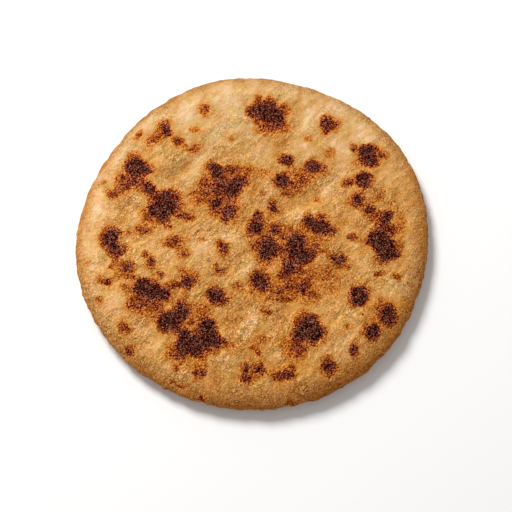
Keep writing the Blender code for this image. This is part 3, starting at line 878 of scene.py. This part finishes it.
class Shader:
    """A material's nodes, added one after another and linked as they are named."""

    def __init__(self, name):
        self.material = bpy.data.materials.new(name)
        self.material.use_nodes = True
        self.tree = self.material.node_tree
        self.principled = self.tree.nodes["Principled BSDF"]

    def node(self, kind, settings=(), **inputs):
        made = self.tree.nodes.new(kind)
        for name, value in dict(settings).items():
            setattr(made, name, value)
        for name, value in inputs.items():
            self.put(made.inputs[name], value)
        return made

    def put(self, socket, value):
        if isinstance(value, bpy.types.NodeSocket):
            self.tree.links.new(value, socket)
        else:
            socket.default_value = value

    def surface(self, values):
        """Sets or links sockets of the surface, and gives the finished material."""
        for name, value in values.items():
            self.put(self.principled.inputs[name], value)
        return self.material

    def numbered(self, kind, settings, values):
        """The first output of a node whose inputs are given in order."""
        made = self.node(kind, settings)
        for socket, value in zip(made.inputs, values):
            self.put(socket, value)
        return made.outputs[0]

    def math(self, operation, *values):
        return self.numbered("ShaderNodeMath", {"operation": operation}, values)

    def vector(self, operation, *values):
        return self.numbered("ShaderNodeVectorMath", {"operation": operation}, values)

    def range(self, value, low, high, start=0.0, end=1.0):
        """A soft step from start, where the value is low, to end, where it is high."""
        smooth = {"interpolation_type": "SMOOTHSTEP"}
        return self.numbered("ShaderNodeMapRange", smooth, (value, low, high, start, end))

    def signed(self, value):
        """A value from 0 to 1, moved to run from -0.5 to 0.5."""
        return self.math("SUBTRACT", value, 0.5)

    def product(self, first, *others):
        for other in others:
            first = self.math("MULTIPLY", first, other)
        return first

    def total(self, base, *terms):
        """A base plus values, each with its weight."""
        for weight, value in terms:
            base = self.math("ADD", self.product(value, weight), base)
        return base

    def attribute(self, name):
        return self.node("ShaderNodeAttribute", {"attribute_name": name}).outputs["Fac"]

    def ramp(self, value, tones):
        made = self.node("ShaderNodeValToRGB", Fac=value)
        stops = made.color_ramp.elements
        while len(stops) < len(tones):
            stops.new(1)
        for stop, (place, *colour) in zip(stops, tones):
            stop.position = place
            stop.color = baked(*colour)
        return made.outputs[0]

    def mix(self, share, first, second, blend="MIX"):
        made = self.node("ShaderNodeMix", {"data_type": "RGBA", "blend_type": blend}, Factor=share)
        self.put(made.inputs[FIRST_COLOUR], first)
        self.put(made.inputs[SECOND_COLOUR], second)
        return made.outputs[MIXED_COLOUR]

    def tinted(self, share, colour, tint):
        return self.mix(share, colour, tint, "MULTIPLY")

    def places(self, sizes, turn, seed):
        """Places on the bread, measured in these sizes in millimetres, along and across a turn."""
        place = self.node("ShaderNodeTexCoord").outputs["Object"]
        shift = [seed * MM] * 3
        scale = [size * MM for size in sizes]
        values = (place, shift, (0, 0, turn), scale)
        return self.numbered("ShaderNodeMapping", {"vector_type": "TEXTURE"}, values)

    def grain(self, sizes, detail=2.0, roughness=0.5, turn=0.0, seed=0.0):
        """Noise whose features have these sizes in millimetres, along and across a turn."""
        place = self.places(sizes, turn, seed)
        made = self.node(
            "ShaderNodeTexNoise", Vector=place, Scale=1, Detail=detail, Roughness=roughness
        )
        return made.outputs["Fac"]

    def grits(self, sizes, turn=0.0, seed=0.0):
        """A random value from 0 to 1 for each grain, where grains have these sizes."""
        made = self.node("ShaderNodeTexVoronoi", Vector=self.places(sizes, turn, seed), Scale=1)
        return self.node("ShaderNodeSeparateColor", Color=made.outputs["Color"]).outputs[0]


def crust_material():
    """Baked dough: pale and floury, golden round the marks, and charred on them."""
    s = Shader("baked_crust")
    heat = s.attribute("scorched")
    pale = s.attribute("pale")

    broad = s.grain((26, 15, 15), turn=PATTED_TURN, seed=31)
    mottle = s.grain((6, 3.6, 3.6), turn=PATTED_TURN, seed=77)
    hue = s.grain((7, 5, 5), seed=120)
    fibres = s.grain((1.4, 0.85, 1), roughness=0.6, turn=PATTED_TURN, seed=140)
    knobs = s.range(fibres, *KNOB_STEP)
    flour = s.grits((0.6, 0.42, 0.5), turn=PATTED_TURN, seed=9)
    ash = s.grits((0.4, 0.4, 0.4), seed=61)
    stipple = s.grain((0.8, 0.8, 0.8), detail=1, seed=55)
    clumps = s.grain((1.5, 1.5, 1.5), detail=1, seed=88)
    cracks = s.grain((4, 2.6, 3), detail=1, turn=PATTED_TURN, seed=200)
    gaps = s.grain((2.6, 2.6, 2.6), detail=1, seed=230)
    strewn = s.grain((4.5, 3.2, 3.2), detail=1, turn=PATTED_TURN, seed=260)
    rough = s.product(s.attribute("rough"), s.range(strewn, *STREWN_STEP))

    # The dough itself.
    tone = s.total(
        PLAIN_TONE,
        (PALE_TONE, pale),
        (BROAD_TONE, s.signed(broad)),
        (MOTTLE_TONE, s.signed(mottle)),
        (FIBRE_TONE, s.signed(fibres)),
        (KNOB_TONE, s.product(rough, s.signed(knobs))),
        (HOLLOW_SHADE, s.attribute("hollow")),
    )
    colour = s.ramp(tone, DOUGH_TONES)
    colour = s.tinted(1.0, colour, s.mix(s.attribute("golden"), CREAM_TINT, GOLDEN_TINT))
    colour = s.tinted(s.attribute("dull"), colour, DULL_TINT)
    colour = s.tinted(1.0, colour, s.mix(s.range(hue, *HUE_STEP), ROSY_TINT, HAY_TINT))

    # Short, thin cracks in the crust, and its pits, are darker: painted shade in them, and in some
    # dents their own dark colour.
    cracked = s.product(
        s.range(s.math("ABSOLUTE", s.signed(cracks)), *CRACK_STEP),
        s.range(gaps, *GAP_STEP),
        s.total(SMOOTH_CRACKS, (ROUGH_CRACKS, rough)),
    )
    colour = s.mix(s.product(cracked, CRACK_OLIVE), colour, OLIVE_SHADE)
    colour = s.mix(s.range(s.attribute("pitted"), *PIT_STEP), colour, OLIVE_SHADE)
    # Orange-brown from the mottling, and on the rim from browning and painted shade.
    browned_and_shaded = s.total(PLAIN_AMBER, (RIM_AMBER_AND_SHADE, s.attribute("amber_and_shade")), (MOTTLE_AMBER, mottle))
    colour = s.mix(s.range(browned_and_shaded, 0, 1), colour, AMBER)

    # Golden, then brown, then charred, with a stippled edge between them.
    scatter = s.total(0, (STIPPLE_SCATTER, s.signed(stipple)), (CLUMP_SCATTER, s.signed(clumps)))
    scattered = s.product(s.range(heat, *SCATTER_STEP), s.range(heat, *CORE_STEP))
    burnt = s.math("ADD", heat, s.product(scatter, scattered))
    colour = s.mix(s.range(burnt, *BURNT_STEP), colour, s.ramp(burnt, BURNT_TONES))
    colour = s.tinted(s.attribute("honey"), colour, HONEY_TINT)

    # Grains of flour, each lighter or darker to the eye than the dough or the char round it.
    strength = s.total(
        PLAIN_GRAIN,
        (ROUGH_GRAIN, rough),
        (SCORCHED_GRAIN, s.range(heat, *GRAIN_STEP)),
        (PALE_GRAIN, pale),
    )
    ashy = s.range(heat, *ASH_STEP)
    ashier = s.product(ashy, s.math("SUBTRACT", ash, flour))
    gritty = s.total(s.signed(flour), (1, ashier), (ASH_SHADE, ashy))
    dots = s.product(
        s.range(stipple, *DOT_STEP),
        s.range(heat, *DOTTED_STEP),
        s.range(heat, *DOTTED_CORE_STEP),
    )
    seen = s.node("ShaderNodeGamma", Color=colour, Gamma=1 / SCREEN_GAMMA).outputs[0]
    seen = s.vector("ADD", seen, s.math("ADD", s.product(gritty, strength), dots))
    seen = s.vector("MAXIMUM", seen, (0, 0, 0))
    colour = s.node("ShaderNodeGamma", Color=seen, Gamma=SCREEN_GAMMA).outputs[0]

    relief = s.total(
        0,
        (FIBRE_HEIGHT, fibres),
        (KNOB_HEIGHT, s.product(rough, knobs)),
        (FLOUR_HEIGHT, s.product(rough, flour)),
        (STIPPLE_HEIGHT, s.product(stipple, heat)),
        (CRACK_HEIGHT, cracked),
    )
    bump = s.node("ShaderNodeBump", Height=relief, Distance=MM, Strength=1)
    surface = {
        "Base Color": colour,
        "Normal": bump.outputs[0],
        "Roughness": s.range(heat, *ROUGHNESS_STEP),
        "Specular IOR Level": SPECULAR,
    }
    return s.surface(surface)


# ---- stage


FLOOR_SIZE = 12000
FLOOR_DROP = 0.2  # below the underside, so that the two faces don't share a plane
FLOOR_SURFACE = {"Base Color": linear(248, 247, 246), "Roughness": 0.9, "Specular IOR Level": 0.2}
KEY_PLACE = (-600, 845, 1040)
KEY_SIZE = 550
KEY_POWER = 22.6  # in watts
FILL_STRENGTH = 0.42


def add_floor():
    bpy.ops.mesh.primitive_plane_add(size=FLOOR_SIZE * MM, location=(0, 0, -FLOOR_DROP * MM))
    floor = bpy.context.object
    floor.name = "floor"
    floor.data.materials.append(Shader("pale_floor").surface(FLOOR_SURFACE))


def point_at(obj, target):
    direction = Vector(target) * MM - obj.location
    obj.rotation_euler = direction.to_track_quat("-Z", "Y").to_euler()


def add_light():
    """A soft key light from behind and to the left, and an even fill from all round."""
    light = bpy.data.lights.new("window", "AREA")
    light.shape = "DISK"
    light.size = KEY_SIZE * MM
    light.energy = KEY_POWER
    lamp = new_object("window", light)
    lamp.location = Vector(KEY_PLACE) * MM
    point_at(lamp, (0, 0, 0))
    world = bpy.data.worlds.new("studio")
    world.use_nodes = True
    sky = world.node_tree.nodes["Background"]
    sky.inputs["Color"].default_value = (1, 1, 1, 1)
    sky.inputs["Strength"].default_value = FILL_STRENGTH
    bpy.context.scene.world = world


def add_camera():
    data = bpy.data.cameras.new("camera")
    data.lens = CAMERA_LENS
    data.clip_start = CAMERA_NEAR * MM
    camera = new_object("camera", data)
    away = (0, -math.cos(CAMERA_ELEVATION), math.sin(CAMERA_ELEVATION))
    camera.location = (Vector(CAMERA_AIM) + Vector(away) * CAMERA_DISTANCE) * MM
    point_at(camera, CAMERA_AIM)
    bpy.context.scene.camera = camera


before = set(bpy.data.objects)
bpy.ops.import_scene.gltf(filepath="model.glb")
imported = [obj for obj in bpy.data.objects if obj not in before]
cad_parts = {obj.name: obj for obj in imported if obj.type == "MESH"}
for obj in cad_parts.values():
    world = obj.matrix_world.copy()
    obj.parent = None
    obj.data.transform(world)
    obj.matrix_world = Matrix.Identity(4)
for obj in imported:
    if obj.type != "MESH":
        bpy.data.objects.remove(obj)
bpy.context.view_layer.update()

crust = build_crust(*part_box("rotla"))
crust.data.materials.append(crust_material())
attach(crust, "root")
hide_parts("rotla")

add_floor()
add_light()
add_camera()
bpy.context.scene.view_settings.view_transform = "Standard"
